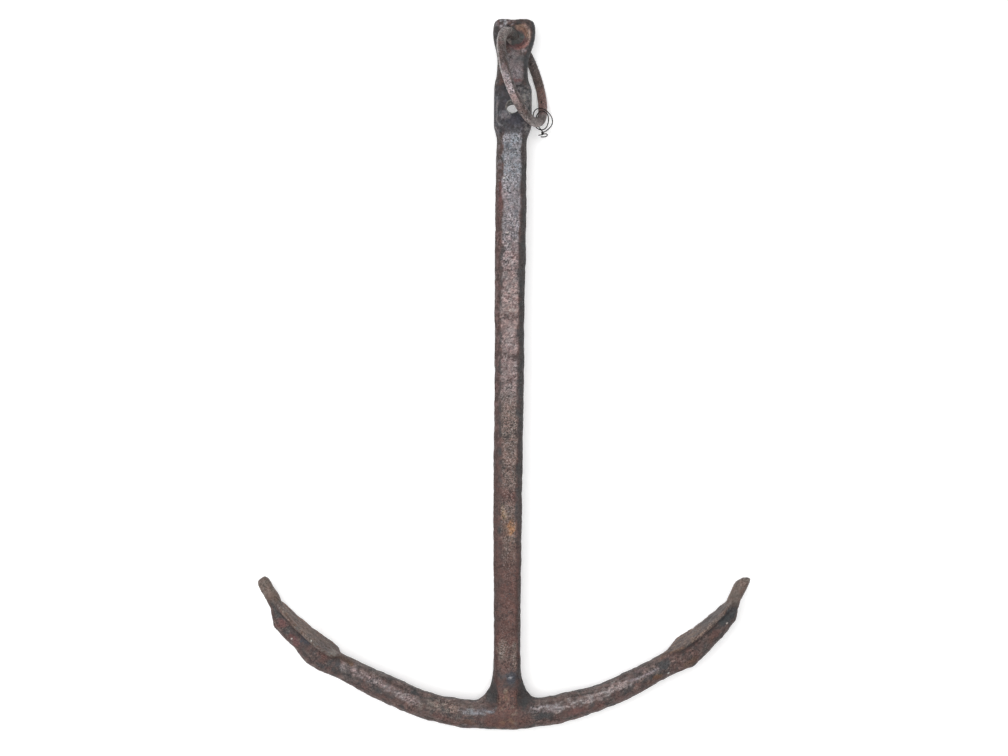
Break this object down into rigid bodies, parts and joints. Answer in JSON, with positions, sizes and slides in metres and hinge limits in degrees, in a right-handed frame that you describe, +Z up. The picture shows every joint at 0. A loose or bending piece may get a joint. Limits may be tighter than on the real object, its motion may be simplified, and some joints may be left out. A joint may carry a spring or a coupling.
{
  "type": "anchor",
  "caption": "Old forged anchor without its stock: a chamfered shank, two curved arms with flat palms, and a loose ring through the eye, all worn and rusted.",
  "frame": {"origin": "bottom centre of the bounding box of the anchor as it lies, on the surface that it lies on", "axes": "+Y up the shank from the crown to the head, +Z up from the surface, +X across the arms towards the side that the ring leans to"},
  "size_m": [0.8303, 1.1958, 0.1647],
  "materials": {
    "forging": "rusted and pitted, dark brown and charcoal with pale worn ridges",
    "ring": "rusted brown with a worn grey-mauve side",
    "wire": "dark oxidised soft iron wire"
  },
  "bodies": {
    "anchor": {"anchor_forging": "forging"},
    "ring": {"ring": "ring", "tie_wire": "wire"}
  },
  "joints": [
    {"name": "ring_swing", "type": "hinge", "parent": "anchor", "child": "ring", "pos_m": [0.0116, 0.56955, 0.0535], "axis": [0, 0, 1], "range_deg": [0, 319]}
  ]
}
